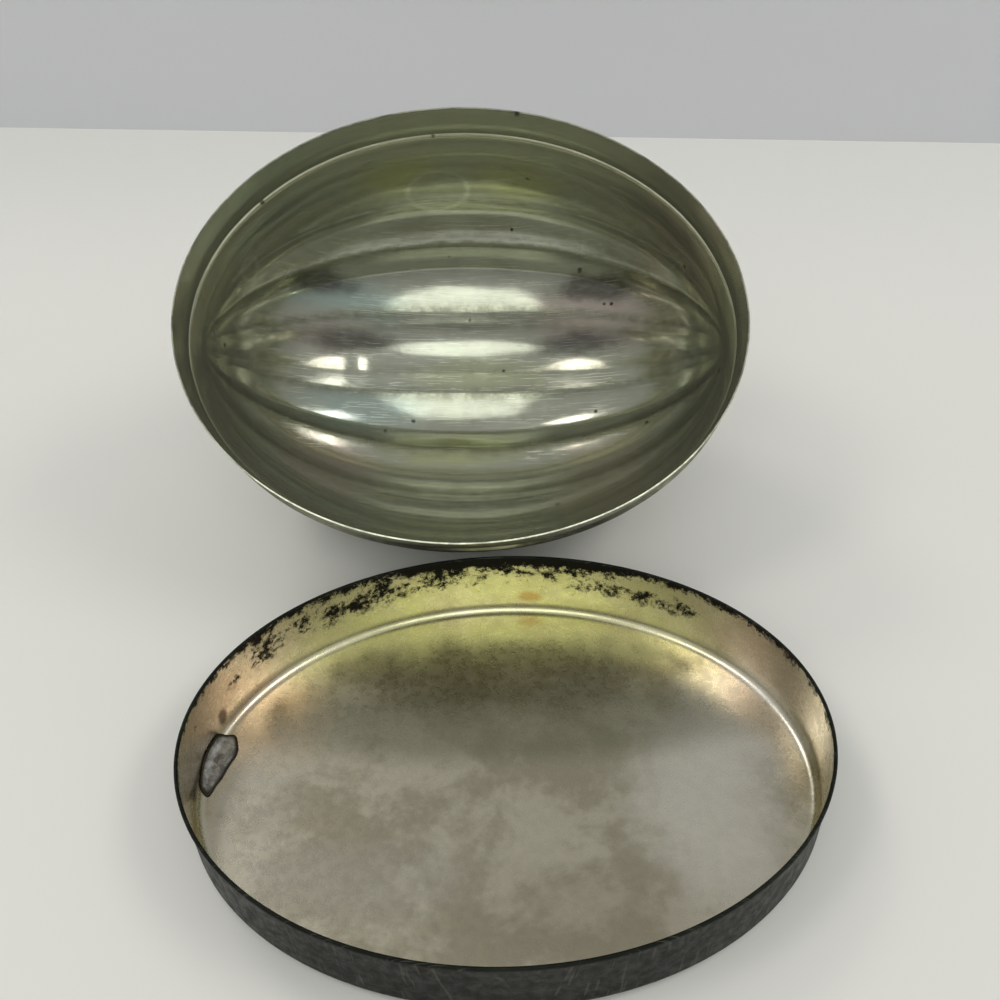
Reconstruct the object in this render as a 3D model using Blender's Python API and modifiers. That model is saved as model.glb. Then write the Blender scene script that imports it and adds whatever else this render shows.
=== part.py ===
"""Steamed pudding mould: a pressed half-melon mould and its shallow oval lid.

The lid lies open side up on the table, with its centre at the origin. The mould stands
behind it, tipped toward the front: the bottom of its bowl is on the table and the bead
below its collar leans on the lid's back rim. X runs along both long axes, +Y is the back
and +Z is up. In use the lid is pushed over the collar until its rim meets the bead.
"""

import math

import bmesh
import bpy
import numpy as np
from mathutils import Euler, Vector

MM = 0.001

# Lid: a pan pressed from one sheet, its rim folded outward into a narrow hem.
LID_LENGTH = 200.0 * MM
LID_WIDTH = 154.6 * MM
LID_HEIGHT = 26.0 * MM
LID_SHEET = 0.5 * MM
LID_DRAFT = 0.6 * MM
LID_CORNER_RADIUS = 4.0 * MM
HEM_GAP = 0.2 * MM
HEM_DROP = 0.6 * MM

# Mould: collar, bead, plain shoulder and lobed bowl, pressed from one sheet.
MOULD_SHEET = 0.5 * MM
BEAD_WIDTH = 4.4 * MM
BEAD_HEIGHT = 3.0 * MM
SHOULDER_DEPTH = 13.7 * MM
SHOULDER_INSET = 1.0 * MM
BOWL_DEPTH = 62.2 * MM
LOBE_COUNT = 8
LOBE_DEPTH = 2.2 * MM

# A lobe's depth follows sin(u) to this power toward the two poles, so that it fades there.
LOBE_END_POWER = 0.7
# Power of the raised cosine across a lobe: 1 gives soft waves, 0.5 sharp creases.
LOBE_CREASE_POWER = 0.6

# Fits: collar inside the lid, mould's rim below the lid's floor, pieces that touch.
COLLAR_CLEARANCE = 0.25 * MM
HEAD_GAP = 1.7 * MM
TOUCH_GAP = 0.3 * MM

# How the mould stands behind the lid, tipped to the front. It touches the table and the lid.
MOULD_TURN = Euler((math.radians(43.6), math.radians(1.2), math.radians(-1.2)))
MOULD_OFFSET_X = -11.0 * MM

# Solder repair inside the lid's left corner, measured along the sheet.
PATCH_LENGTH = 25.5 * MM
PATCH_WIDTH = 10.6 * MM
PATCH_THICKNESS = 0.7 * MM
PATCH_ANGLE = math.radians(171.8)
PATCH_CENTRE = 0.5 * MM
# The repair is wider at its back end than at its front end by this share of its width.
PATCH_TAPER = 0.26

# Faceting.
OVAL_STEPS = 72
BOWL_STEPS = OVAL_STEPS // 2
LOBE_STEPS = 5
CORNER_STEPS = 5
HEM_STEPS = 6
BEAD_STEPS = 6
PATCH_SPOKES = 22
PATCH_RINGS = 4
CONTACT_REFINEMENT = 6
CONTACT_ROUNDS = 40
CONTACT_SHARES = (0.0, 0.25, 0.5, 0.75)

# What follows from the sizes above.
HEM_RADIUS = LID_SHEET + HEM_GAP / 2.0
HEM_THICKNESS = 2.0 * HEM_RADIUS
HEM_CENTRE_HEIGHT = LID_HEIGHT - HEM_RADIUS
WALL_INSET = LID_SHEET + HEM_GAP
CORNER_INSET = WALL_INSET + LID_DRAFT + LID_CORNER_RADIUS
LID_INNER_INSET = HEM_THICKNESS + LID_DRAFT
COLLAR_HALF_LENGTH = LID_LENGTH / 2.0 - LID_INNER_INSET - COLLAR_CLEARANCE
COLLAR_HALF_WIDTH = LID_WIDTH / 2.0 - LID_INNER_INSET - COLLAR_CLEARANCE
BEAD_DROP = LID_HEIGHT - LID_SHEET - HEAD_GAP
POLE_DROP = BEAD_DROP + SHOULDER_DEPTH
LOBE_ANGLE = math.pi / LOBE_COUNT


def clear_scene():
    """Remove every object of the file that the script is run in."""
    for item in list(bpy.data.objects):
        bpy.data.objects.remove(item, do_unlink=True)


def metal(name, colour, roughness):
    """Return a metallic material with one base colour."""
    material = bpy.data.materials.new(name)
    material.use_nodes = True
    shader = material.node_tree.nodes["Principled BSDF"]
    shader.inputs["Base Color"].default_value = (*colour, 1.0)
    shader.inputs["Metallic"].default_value = 1.0
    shader.inputs["Roughness"].default_value = roughness
    material.diffuse_color = (*colour, 1.0)
    return material


def oval_point(half_length, half_width, angle, inset, height):
    """Return the point at an ellipse's parameter angle, moved inward along its normal."""
    cosine = math.cos(angle)
    sine = math.sin(angle)
    normal = Vector((half_width * cosine, half_length * sine, 0.0)).normalized()
    return Vector((half_length * cosine, half_width * sine, height)) - inset * normal


def oval_ring(half_length, half_width, inset, height, steps):
    """Return one ring of points, counter-clockwise from above, starting at +X."""
    angles = [2.0 * math.pi * step / steps for step in range(steps)]
    return [oval_point(half_length, half_width, angle, inset, height) for angle in angles]


def arc(centre, radius, start, end, steps):
    """Return (inset, height) points on an arc; angles are in degrees from the inset axis."""
    points = []
    for step in range(steps + 1):
        angle = math.radians(start + (end - start) * step / steps)
        points.append((centre[0] + radius * math.cos(angle), centre[1] + radius * math.sin(angle)))
    return points


def mesh_object(name, shape, material, collection):
    """Turn a bmesh into a smooth-shaded object of the model's collection."""
    mesh = bpy.data.meshes.new(name)
    shape.to_mesh(mesh)
    shape.free()
    mesh.materials.append(material)
    mesh.shade_smooth()
    mesh.set_sharp_from_angle(angle=math.radians(40.0))
    item = bpy.data.objects.new(name, mesh)
    collection.objects.link(item)
    return item


def join_rings(shape, ring, following_ring):
    """Bridge two rings of equal count with quads.

    The quads face away from the axis where the second ring is below the first one, and
    otherwise out of a sheet whose section is walked from its inside over the rim.
    """
    count = len(ring)
    for step in range(count):
        following = (step + 1) % count
        shape.faces.new(
            (ring[step], following_ring[step], following_ring[following], ring[following])
        )


def lid_section():
    """Return the lid's section from the edge of its floor, over the rim, to its underside.

    Each point is (inset from the rim's outermost oval, height above the table).
    """
    corner = (CORNER_INSET, LID_CORNER_RADIUS)
    hem = (HEM_RADIUS, HEM_CENTRE_HEIGHT)
    lip_end = HEM_CENTRE_HEIGHT - HEM_DROP
    inner_corner = arc(corner, LID_CORNER_RADIUS - LID_SHEET, 270.0, 180.0, CORNER_STEPS)
    hem_outside = arc(hem, HEM_RADIUS, 0.0, 180.0, HEM_STEPS)
    lip = [(0.0, lip_end), (LID_SHEET, lip_end)]
    hem_inside = arc(hem, HEM_GAP / 2.0, 180.0, 0.0, HEM_STEPS // 2)
    outer_corner = arc(corner, LID_CORNER_RADIUS, 180.0, 270.0, CORNER_STEPS)
    return inner_corner + hem_outside + lip + hem_inside + outer_corner


def build_lid_pan(collection, material):
    """Sweep the lid's section round its oval and close the floor above and below."""
    shape = bmesh.new()
    rings = []
    for inset, height in lid_section():
        points = oval_ring(LID_LENGTH / 2.0, LID_WIDTH / 2.0, inset, height, OVAL_STEPS)
        rings.append([shape.verts.new(point) for point in points])
    for ring, following in zip(rings, rings[1:]):
        join_rings(shape, ring, following)
    shape.faces.new(rings[0])
    shape.faces.new(reversed(rings[-1]))
    return mesh_object("lid_pan", shape, material, collection)


def lid_inner_point(angle, travel, lift):
    """Return a point above the lid's inner face.

    travel is measured along the sheet: 0 where the floor meets the corner, negative on the
    floor, then round the corner and up the wall. lift is the distance from the sheet.
    """
    radius = LID_CORNER_RADIUS - LID_SHEET
    corner_travel = radius * math.pi / 2.0
    if travel < 0.0:
        inset = CORNER_INSET - travel
        height = LID_SHEET + lift
    elif travel < corner_travel:
        turn = travel / radius
        inset = CORNER_INSET - (radius - lift) * math.sin(turn)
        height = LID_CORNER_RADIUS - (radius - lift) * math.cos(turn)
    else:
        inset = CORNER_INSET - radius + lift
        height = LID_CORNER_RADIUS + travel - corner_travel
    return oval_point(LID_LENGTH / 2.0, LID_WIDTH / 2.0, angle, inset, height)


def patch_outline(turn):
    """Return the repair's irregular outline as a share of its half size."""
    wave = 0.04 * math.cos(2.0 * turn + 0.4) + 0.04 * math.sin(3.0 * turn + 1.1)
    ripple = 0.03 * math.sin(7.0 * turn)
    return 1.0 + wave + ripple


def patch_point(turn, share, lift):
    """Return a point of the repair at a turn round its middle and a share of its outline."""
    reach = share * patch_outline(turn)
    along = reach * PATCH_LENGTH / 2.0 * math.cos(turn)
    taper = 1.0 - PATCH_TAPER * math.cos(turn)
    across = reach * taper * PATCH_WIDTH / 2.0 * math.sin(turn)
    # Near the end of the oval one radian of angle spans about half the lid's width.
    angle = PATCH_ANGLE + along / (LID_WIDTH / 2.0)
    return lid_inner_point(angle, PATCH_CENTRE - across, lift)


def build_solder_patch(collection, material):
    """Build the thin domed pool of solder that follows the lid's corner."""
    shape = bmesh.new()
    turns = [2.0 * math.pi * step / PATCH_SPOKES for step in range(PATCH_SPOKES)]
    underside = [shape.verts.new(patch_point(turn, 1.0, TOUCH_GAP)) for turn in turns]
    rings = [underside]
    for ring in range(1, PATCH_RINGS + 1):
        share = 1.0 - 0.85 * ring / PATCH_RINGS
        dome = PATCH_THICKNESS * (1.0 - share * share)
        lift = TOUCH_GAP + 0.15 * MM + dome
        rings.append([shape.verts.new(patch_point(turn, share, lift)) for turn in turns])
    for outer, inner in zip(rings, rings[1:]):
        join_rings(shape, inner, outer)
    top = shape.verts.new(patch_point(0.0, 0.0, TOUCH_GAP + 0.15 * MM + PATCH_THICKNESS))
    inner_underside = [shape.verts.new(patch_point(turn, 0.5, TOUCH_GAP)) for turn in turns]
    join_rings(shape, underside, inner_underside)
    bottom = shape.verts.new(patch_point(0.0, 0.0, TOUCH_GAP))
    for step in range(PATCH_SPOKES):
        following = (step + 1) % PATCH_SPOKES
        shape.faces.new((rings[-1][step], rings[-1][following], top))
        shape.faces.new((inner_underside[following], inner_underside[step], bottom))
    bmesh.ops.recalc_face_normals(shape, faces=shape.faces)
    return mesh_object("solder_patch", shape, material, collection)


def collar_profile(bead_steps):
    """Return (inset, height) of the mould's outside from its rim down to the pole line."""
    bead_top = -BEAD_DROP + BEAD_WIDTH / 2.0
    points = [(0.0, 0.0), (0.0, bead_top / 2.0)]
    for step in range(bead_steps + 1):
        share = 2.0 * step / bead_steps - 1.0
        swell = BEAD_HEIGHT * (1.0 + math.cos(math.pi * share)) / 2.0
        points.append((-swell, -BEAD_DROP - share * BEAD_WIDTH / 2.0))
    points.append((SHOULDER_INSET * 0.4, -BEAD_DROP - SHOULDER_DEPTH * 0.55))
    points.append((SHOULDER_INSET, -POLE_DROP))
    return points


def lobe_swell(long_angle, cross_angle):
    """Return how far a lobe stands out; long_angle is 0 to pi from pole to pole."""
    position = (cross_angle + math.pi / 2.0) / LOBE_ANGLE
    raised = (1.0 - math.cos(2.0 * math.pi * position)) / 2.0
    is_edge = position < 0.5 or position > LOBE_COUNT - 0.5
    power = 1.0 if is_edge else LOBE_CREASE_POWER
    return LOBE_DEPTH * max(math.sin(long_angle), 0.0) ** LOBE_END_POWER * max(raised, 0.0) ** power


def bowl_point(long_angle, cross_angle):
    """Return a point of the bowl's outside; cross_angle is 0 straight down, +90 degrees at +Y."""
    side = oval_point(COLLAR_HALF_LENGTH, COLLAR_HALF_WIDTH, long_angle, SHOULDER_INSET, 0.0)
    swell = lobe_swell(long_angle, cross_angle)
    depth = BOWL_DEPTH * math.sin(long_angle) + swell
    return Vector((
        side.x,
        (side.y + swell) * math.sin(cross_angle),
        -POLE_DROP - depth * math.cos(cross_angle),
    ))


def mould_outside(oval_steps, lobe_steps, bead_steps):
    """Return the rings of the collar and the rows of the bowl, in the mould's own frame."""
    rings = []
    for inset, height in collar_profile(bead_steps):
        rings.append(oval_ring(COLLAR_HALF_LENGTH, COLLAR_HALF_WIDTH, inset, height, oval_steps))
    rows = []
    cross_steps = LOBE_COUNT * lobe_steps
    for long_step in range(1, oval_steps // 2):
        long_angle = 2.0 * math.pi * long_step / oval_steps
        row = []
        for cross_step in range(1, cross_steps):
            cross_angle = math.pi * (cross_step / cross_steps - 0.5)
            row.append(bowl_point(long_angle, cross_angle))
        rows.append(row)
    return rings, rows


def build_mould_shell(collection, material, carrier):
    """Skin the mould's outside and thicken it inward to the sheet."""
    shape = bmesh.new()
    ring_points, row_points = mould_outside(OVAL_STEPS, LOBE_STEPS, BEAD_STEPS)
    rings = [[shape.verts.new(point) for point in ring] for ring in ring_points]
    for upper, lower in zip(rings, rings[1:]):
        join_rings(shape, upper, lower)
    edge = rings[-1]
    grid = [[edge[0]]]
    for index, row in enumerate(row_points, start=1):
        grid.append([edge[-index], *[shape.verts.new(point) for point in row], edge[index]])
    grid.append([edge[BOWL_STEPS]])
    for row, following in zip(grid[1:-1], grid[2:-1]):
        for step in range(len(row) - 1):
            shape.faces.new((row[step], following[step], following[step + 1], row[step + 1]))
    for step in range(len(grid[1]) - 1):
        shape.faces.new((grid[0][0], grid[1][step], grid[1][step + 1]))
        shape.faces.new((grid[-2][step], grid[-1][0], grid[-2][step + 1]))
    item = mesh_object("mould_shell", shape, material, collection)
    wall = item.modifiers.new("sheet", "SOLIDIFY")
    wall.thickness = MOULD_SHEET
    wall.offset = -1.0
    wall.use_even_offset = True
    item.parent = carrier
    return item


def standing_place():
    """Return where the centre of the mould's rim is.

    The lowest point of the bowl is on the table. From well behind the lid, the mould then
    moves forward by what is left of the gap until it nearly touches the lid's rolled rim.
    """
    rings, rows = mould_outside(
        OVAL_STEPS * CONTACT_REFINEMENT, LOBE_STEPS, BEAD_STEPS * CONTACT_REFINEMENT
    )
    between = []
    for ring, following in zip(rings, rings[1:]):
        for share in CONTACT_SHARES:
            between.append([one.lerp(other, share) for one, other in zip(ring, following)])
    points = np.array([tuple(point) for line in between + rows for point in line])
    points = points @ np.array(MOULD_TURN.to_matrix()).T
    height = -points[:, 2].min()
    points = points + np.array([MOULD_OFFSET_X, 0.0, height])
    points = points[np.abs(points[:, 2] - LID_HEIGHT) < LID_HEIGHT / 2.0]
    rim = oval_ring(
        LID_LENGTH / 2.0, LID_WIDTH / 2.0, HEM_RADIUS, HEM_CENTRE_HEIGHT,
        OVAL_STEPS * CONTACT_REFINEMENT,
    )
    rim = np.array([tuple(point) for point in rim if point.y > 0.0])
    set_back = LID_WIDTH - points[:, 1].min()
    for _ in range(CONTACT_ROUNDS):
        moved = points + np.array([0.0, set_back, 0.0])
        nearest = min(np.linalg.norm(moved - point, axis=1).min() for point in rim)
        set_back -= nearest - HEM_RADIUS - TOUCH_GAP
    return Vector((MOULD_OFFSET_X, set_back, height))


def main():
    """Build the lid, its repair and the mould."""
    clear_scene()
    collection = bpy.data.collections.new("steamed_pudding_mould")
    bpy.context.scene.collection.children.link(collection)
    carrier = bpy.data.objects.new("mould_lift_axis", None)
    carrier.location = standing_place()
    carrier.rotation_euler = MOULD_TURN
    collection.objects.link(carrier)
    build_lid_pan(collection, metal("lid_tin", (0.42, 0.40, 0.33), 0.42))
    build_solder_patch(collection, metal("solder", (0.45, 0.45, 0.43), 0.5))
    build_mould_shell(collection, metal("mould_tin", (0.38, 0.40, 0.32), 0.3), carrier)


main()
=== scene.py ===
"""A steamed pudding mould of tarnished tinned steel, tipped against its open lid.

The pieces are modelled in the object's own frame, in metres: the lid lies open side up
on the table round the origin, and the lobed mould stands behind it. Each piece is a class
that builds its own mesh and finish. main() builds them in order, then the stage, the lamps
and the camera.
"""

import logging
import math
from dataclasses import dataclass, field
from enum import Enum
from typing import Callable, Sequence

import bpy
import bmesh
from mathutils import Euler, Matrix, Vector, noise

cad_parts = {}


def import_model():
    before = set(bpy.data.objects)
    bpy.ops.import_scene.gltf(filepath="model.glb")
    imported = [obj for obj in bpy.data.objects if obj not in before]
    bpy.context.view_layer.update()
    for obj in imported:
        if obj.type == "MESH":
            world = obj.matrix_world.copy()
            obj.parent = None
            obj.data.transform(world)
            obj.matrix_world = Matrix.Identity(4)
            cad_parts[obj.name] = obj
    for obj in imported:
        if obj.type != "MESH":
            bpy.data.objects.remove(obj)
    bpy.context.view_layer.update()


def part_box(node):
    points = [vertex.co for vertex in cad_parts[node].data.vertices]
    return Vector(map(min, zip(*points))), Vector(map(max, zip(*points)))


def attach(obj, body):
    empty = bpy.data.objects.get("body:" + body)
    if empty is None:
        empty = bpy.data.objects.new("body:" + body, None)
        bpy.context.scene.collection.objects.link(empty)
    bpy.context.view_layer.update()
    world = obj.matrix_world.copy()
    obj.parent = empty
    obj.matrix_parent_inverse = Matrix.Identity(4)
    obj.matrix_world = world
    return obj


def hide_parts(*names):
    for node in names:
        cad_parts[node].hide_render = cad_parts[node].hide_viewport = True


LOG = logging.getLogger("pudding_mould")
MM = 0.001

Colour = tuple[float, float, float]
Place = tuple[float, float, float]
# A value's low and high end, and what it becomes there: 0 and 1 where that isn't given.
Span = tuple[float, ...]
# A noise pattern's scale, detail and roughness.
Grain = tuple[float, float, float]
# A cloud pattern's scale, and the noise values where its mask starts and is full.
Clouds = tuple[float, float, float]
# A pit pattern's scale, the size of its pits, and the share of them that show.
Pits = tuple[float, float, float]

# Places of the sockets of a Mix node that blends colours.
MIX_FACTOR, MIX_FIRST, MIX_SECOND, MIX_RESULT = 0, 6, 7, 2


class Body(Enum):
    """The two loose bodies of the object."""

    LID = "lid"
    MOULD = "mould"


class Coordinates(Enum):
    """Which frame a finish is laid out in."""

    TABLE = "table"
    MOULD = "mould"


# How the mould stands behind the lid: its turn, and where the centre of its rim is.
MOULD_TURN = Euler((math.radians(43.6), math.radians(1.2), math.radians(-1.2)))
MOULD_PLACE = Vector((-11.0 * MM, 117.49 * MM, 97.10 * MM))


def deselect_all() -> None:
    """Leave edit mode and deselect every object."""
    if bpy.context.object and bpy.context.object.mode != "OBJECT":
        bpy.ops.object.mode_set(mode="OBJECT")
    bpy.ops.object.select_all(action="DESELECT")


def take_new_object(name: str) -> bpy.types.Object:
    """Return the primitive just added, under its own name."""
    item = bpy.context.object
    item.name = name
    item.data.name = name
    return item


def select_only(item: bpy.types.Object) -> None:
    """Make one object the active one and the only one selected."""
    deselect_all()
    bpy.context.view_layer.objects.active = item
    item.select_set(True)


def enter_edit(item: bpy.types.Object) -> bmesh.types.BMesh:
    """Open an object in edit mode with nothing selected.

    Args:
        item: the mesh object to edit.

    Returns:
        The edit mesh, in edge selection mode.
    """
    select_only(item)
    bpy.ops.object.mode_set(mode="EDIT")
    bpy.ops.mesh.select_mode(type="EDGE")
    bpy.ops.mesh.select_all(action="DESELECT")
    return bmesh.from_edit_mesh(item.data)


def face_outward() -> None:
    """Turn every face of the mesh in edit mode outward."""
    bpy.ops.mesh.select_all(action="SELECT")
    bpy.ops.mesh.normals_make_consistent(inside=False)


def select_border(shape: bmesh.types.BMesh) -> None:
    """Select the open border edges of the edit mesh."""
    for edge in shape.edges:
        edge.select_set(len(edge.link_faces) < 2)
    shape.select_flush_mode()


def extrude_ring(scale: tuple[float, float], rise: float, height: float) -> None:
    """Extrude the selected border once, then resize and lift the new ring.

    Args:
        scale: factors along X and Y about the Z axis.
        rise: how far up the new ring moves.
        height: where the old ring is, so that the resize keeps it level.
    """
    bpy.ops.mesh.extrude_region_move(TRANSFORM_OT_translate={"value": (0.0, 0.0, rise)})
    bpy.ops.transform.resize(
        value=(scale[0], scale[1], 1.0), center_override=(0.0, 0.0, height + rise)
    )


def follow_section(
    half_length: float, half_width: float, section: Sequence[tuple[float, float]]
) -> None:
    """Extrude the selected ring along a section of (inset, height) points.

    Args:
        half_length: the oval's half length where the inset is 0.
        half_width: the oval's half width there.
        section: the points; the selected ring already lies on the first one.
    """
    for (inset, height), (next_inset, next_height) in zip(section, section[1:]):
        scale = (
            (half_length - next_inset) / (half_length - inset),
            (half_width - next_inset) / (half_width - inset),
        )
        extrude_ring(scale, next_height - height, height)


def arc(
    centre: tuple[float, float], radius: float, start: float, end: float, steps: int
) -> list[tuple[float, float]]:
    """Walk along an arc of a section.

    Args:
        centre: inset and height of the arc's centre.
        radius: the arc's radius.
        start: where it starts, in degrees from the inset axis.
        end: where it ends, in the same degrees.
        steps: the number of equal steps between them.

    Returns:
        The (inset, height) points.
    """
    points = []
    for step in range(steps + 1):
        angle = math.radians(start + (end - start) * step / steps)
        points.append((centre[0] + radius * math.cos(angle), centre[1] + radius * math.sin(angle)))
    return points


def apply_modifiers(item: bpy.types.Object) -> None:
    """Apply every modifier of a piece."""
    select_only(item)
    for modifier in list(item.modifiers):
        bpy.ops.object.modifier_apply(modifier=modifier.name)


def reshape(item: bpy.types.Object, place: Callable[[Vector], Vector]) -> None:
    """Move every vertex of a piece to where place says."""
    for vertex in item.data.vertices:
        vertex.co = place(vertex.co.copy())
    item.data.update()


def shade_by_angle(item: bpy.types.Object, degrees: float) -> None:
    """Shade a piece smooth, with edges sharper than the angle kept."""
    select_only(item)
    bpy.ops.object.shade_smooth_by_angle(angle=math.radians(degrees))


def dress(item: bpy.types.Object, *materials: bpy.types.Material) -> None:
    """Give a piece its materials, in order."""
    item.data.materials.clear()
    for material in materials:
        item.data.materials.append(material)


@dataclass
class Graph:
    """A shader or group node tree while it is being wired."""

    tree: bpy.types.NodeTree

    def add(self, kind: str, inputs: dict | None = None, **settings) -> bpy.types.Node:
        """Add a node, set its settings, and feed its inputs.

        Args:
            kind: the node's type name without the ShaderNode prefix.
            inputs: socket name or index to a socket to link or a value to set.
            settings: node properties to set before the inputs.

        Returns:
            The new node.
        """
        node = self.tree.nodes.new("ShaderNode" + kind)
        for key, value in settings.items():
            setattr(node, key, value)
        for key, value in (inputs or {}).items():
            self.feed(node.inputs[key], value)
        return node

    def feed(self, socket: bpy.types.NodeSocket, value: object) -> None:
        """Link a socket to an input, or set the input's own value."""
        if isinstance(value, bpy.types.NodeSocket):
            self.tree.links.new(value, socket)
        elif socket.type == "RGBA" and len(value) == 3:
            socket.default_value = (*value, 1.0)
        else:
            socket.default_value = value

    def math(self, operation: str, first: object, second: object = 0.0) -> bpy.types.NodeSocket:
        """Return the result of a math node on two values."""
        inputs = {0: first, 1: second}
        return self.add("Math", inputs, operation=operation).outputs[0]

    def mix(self, factor: object, first: object, second: object) -> bpy.types.NodeSocket:
        """Return the blend of two colours; a factor of 1 gives the second."""
        node = self.add("Mix", data_type="RGBA")
        self.feed(node.inputs[MIX_FACTOR], factor)
        self.feed(node.inputs[MIX_FIRST], first)
        self.feed(node.inputs[MIX_SECOND], second)
        return node.outputs[MIX_RESULT]

    def tint(
        self, base: object, mask: object, strength: object, colour: object
    ) -> bpy.types.NodeSocket:
        """Return the base colour with another laid over it by a mask and a strength."""
        return self.mix(self.math("MULTIPLY", mask, strength), base, colour)

    def span(
        self, value: object, low: float, high: float, start: float = 0.0, end: float = 1.0
    ) -> bpy.types.NodeSocket:
        """Return value carried smoothly from the span low..high to start..end."""
        inputs = {
            "Value": value, "From Min": low, "From Max": high, "To Min": start, "To Max": end,
        }
        return self.add("MapRange", inputs, interpolation_type="SMOOTHSTEP").outputs[0]

    def noise(
        self, vector: object, scale: float, detail: float = 4.0, roughness: float = 0.55,
        distortion: float = 0.0,
    ) -> bpy.types.NodeSocket:
        """Return a noise value laid out over the given coordinates."""
        inputs = {
            "Vector": vector, "Scale": scale, "Detail": detail, "Roughness": roughness,
            "Distortion": distortion,
        }
        return self.add("TexNoise", inputs).outputs["Fac"]

    def ripple(self, vector: object, grain: Grain) -> bpy.types.NodeSocket:
        """Return a noise value with its middle at zero."""
        return self.math("SUBTRACT", self.noise(vector, *grain), 0.5)

    def axis(self, vector: object, name: str) -> bpy.types.NodeSocket:
        """Return the X, Y or Z part of a vector."""
        return self.add("SeparateXYZ", {0: vector}).outputs[name]

    def attribute(self, name: str) -> bpy.types.NodeSocket:
        """Return a value that the piece stores at its own vertices."""
        return self.add("Attribute", attribute_name=name).outputs["Fac"]

    def plus(self, base: object, extra: object, share: float) -> bpy.types.NodeSocket:
        """Return a value plus a share of another."""
        return self.math("ADD", base, self.math("MULTIPLY", extra, share))

    def pattern(self, tree: bpy.types.NodeTree, output: str, inputs: dict) -> bpy.types.NodeSocket:
        """Place a shared node group, feed it, and return one of its outputs."""
        node = self.tree.nodes.new("ShaderNodeGroup")
        node.node_tree = tree
        for key, value in inputs.items():
            self.feed(node.inputs[key], value)
        return node.outputs[output]


def new_group(
    name: str, inputs: dict[str, tuple[str, object]], outputs: dict[str, str]
) -> tuple[Graph, bpy.types.Node, bpy.types.Node]:
    """Start a shared node group.

    Args:
        name: the group's name.
        inputs: socket name to its kind and its starting value, or None for none.
        outputs: socket name to its kind.

    Returns:
        The graph with its input and output nodes.
    """
    tree = bpy.data.node_groups.new(name, "ShaderNodeTree")
    for label, (kind, value) in inputs.items():
        socket = tree.interface.new_socket(label, in_out="INPUT", socket_type=kind)
        if value is not None:
            socket.default_value = value
    for label, kind in outputs.items():
        tree.interface.new_socket(label, in_out="OUTPUT", socket_type=kind)
    graph = Graph(tree)
    return graph, tree.nodes.new("NodeGroupInput"), tree.nodes.new("NodeGroupOutput")


FLOAT = "NodeSocketFloat"
VECTOR = "NodeSocketVector"


def mottling_group() -> bpy.types.NodeTree:
    """Build the group that gives soft clouds of tarnish as a mask from 0 to 1."""
    graph, given, result = new_group(
        "mottling",
        {"Vector": (VECTOR, None), "Scale": (FLOAT, 30.0), "Low": (FLOAT, 0.4),
         "High": (FLOAT, 0.6)},
        {"Mask": FLOAT},
    )
    coarse_share, times_finer = 0.75, 5.0
    vector, scale = given.outputs["Vector"], given.outputs["Scale"]
    coarse = graph.noise(vector, scale, detail=6.0, roughness=0.6, distortion=0.4)
    finer_scale = graph.math("MULTIPLY", scale, times_finer)
    fine = graph.noise(vector, finer_scale, detail=4.0, roughness=0.6)
    coarse = graph.math("MULTIPLY", coarse, coarse_share)
    fine = graph.math("MULTIPLY", fine, 1.0 - coarse_share)
    clouds = graph.math("ADD", coarse, fine)
    mask = graph.span(clouds, given.outputs["Low"], given.outputs["High"])
    graph.feed(result.inputs["Mask"], mask)
    return graph.tree


def scratch_group() -> bpy.types.NodeTree:
    """Build the group that gives fine straight scratches in three directions as a mask."""
    graph, given, result = new_group(
        "scratches", {"Vector": (VECTOR, None), "Threshold": (FLOAT, 0.66)}, {"Mask": FLOAT}
    )
    directions = ((0.25, 60.0, 2600.0), (1.35, 45.0, 3200.0), (2.45, 80.0, 2900.0))
    lean_share, roll = 0.3, 0.2
    total = 0.0
    for turn, along, across in directions:
        turned = graph.add("Mapping", {
            "Vector": given.outputs["Vector"], "Rotation": (turn * lean_share, roll, turn),
            "Scale": (along, across, along),
        }).outputs[0]
        lines = graph.noise(turned, 1.0, detail=1.0, roughness=0.4)
        mask = graph.math("GREATER_THAN", lines, given.outputs["Threshold"])
        total = graph.math("MAXIMUM", total, mask)
    graph.feed(result.inputs["Mask"], total)
    return graph.tree


def pit_group() -> bpy.types.NodeTree:
    """Build the group that gives small scattered pits as a mask."""
    graph, given, result = new_group(
        "pits",
        {"Vector": (VECTOR, None), "Scale": (FLOAT, 120.0), "Size": (FLOAT, 0.12),
         "Share": (FLOAT, 0.3)},
        {"Mask": FLOAT},
    )
    vector = given.outputs["Vector"]
    ragged, ragged_grain = 0.12, (900.0, 2.0, 0.55)
    cells = graph.add("TexVoronoi", {"Vector": vector, "Scale": given.outputs["Scale"]})
    edge = graph.ripple(vector, ragged_grain)
    reach = graph.plus(cells.outputs["Distance"], edge, ragged)
    near = graph.math("LESS_THAN", reach, given.outputs["Size"])
    pick = graph.add("SeparateColor", {0: cells.outputs["Color"]}).outputs[0]
    chosen = graph.math("LESS_THAN", pick, given.outputs["Share"])
    graph.feed(result.inputs["Mask"], graph.math("MULTIPLY", near, chosen))
    return graph.tree


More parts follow.
